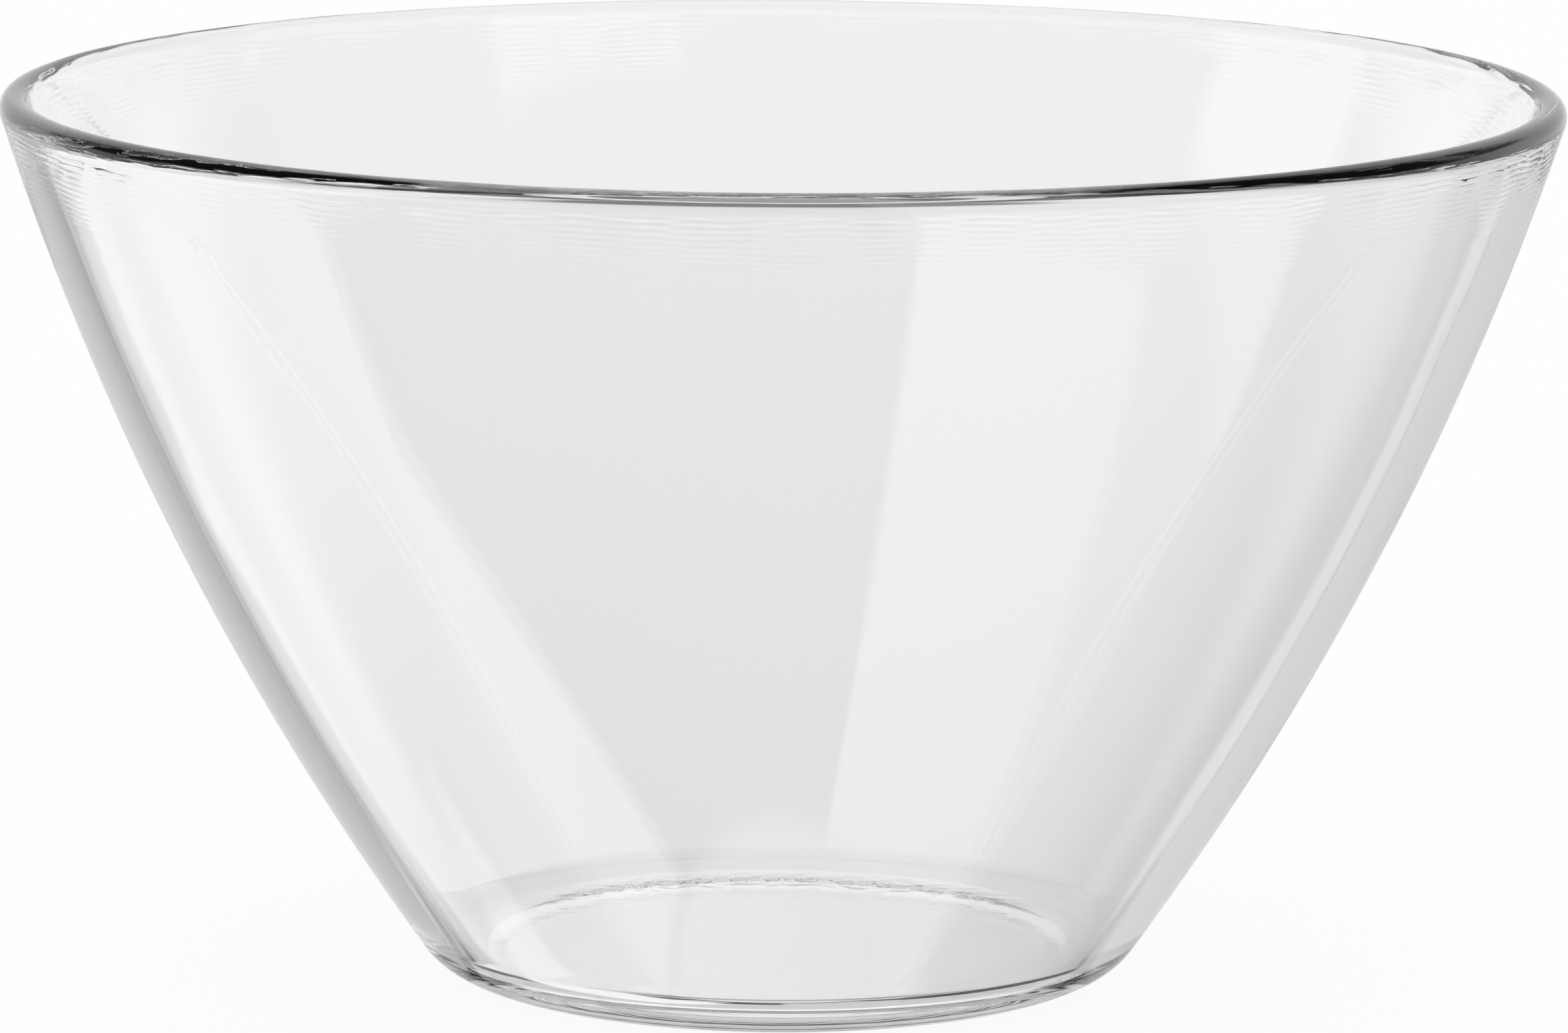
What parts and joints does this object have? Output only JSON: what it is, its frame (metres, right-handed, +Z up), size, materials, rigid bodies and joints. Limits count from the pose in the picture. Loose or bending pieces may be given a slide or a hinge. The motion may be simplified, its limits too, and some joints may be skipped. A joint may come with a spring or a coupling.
{
  "type": "glass bowl",
  "caption": "Deep flared round bowl pressed in one piece from clear glass, with a curved wall, a fire-polished rim and a flat recessed base, for mixing and serving food.",
  "frame": {"origin": "centre of the standing ring, on the plane that the bowl stands on", "axes": "+Z up along the axis of revolution, from the base to the mouth; X and Y across the mouth"},
  "size_m": [0.23, 0.23, 0.1318],
  "materials": {
    "clear_glass": "clear colourless pressed glass, fire-polished"
  },
  "bodies": {
    "root": {"bowl": "clear_glass"}
  },
  "joints": []
}
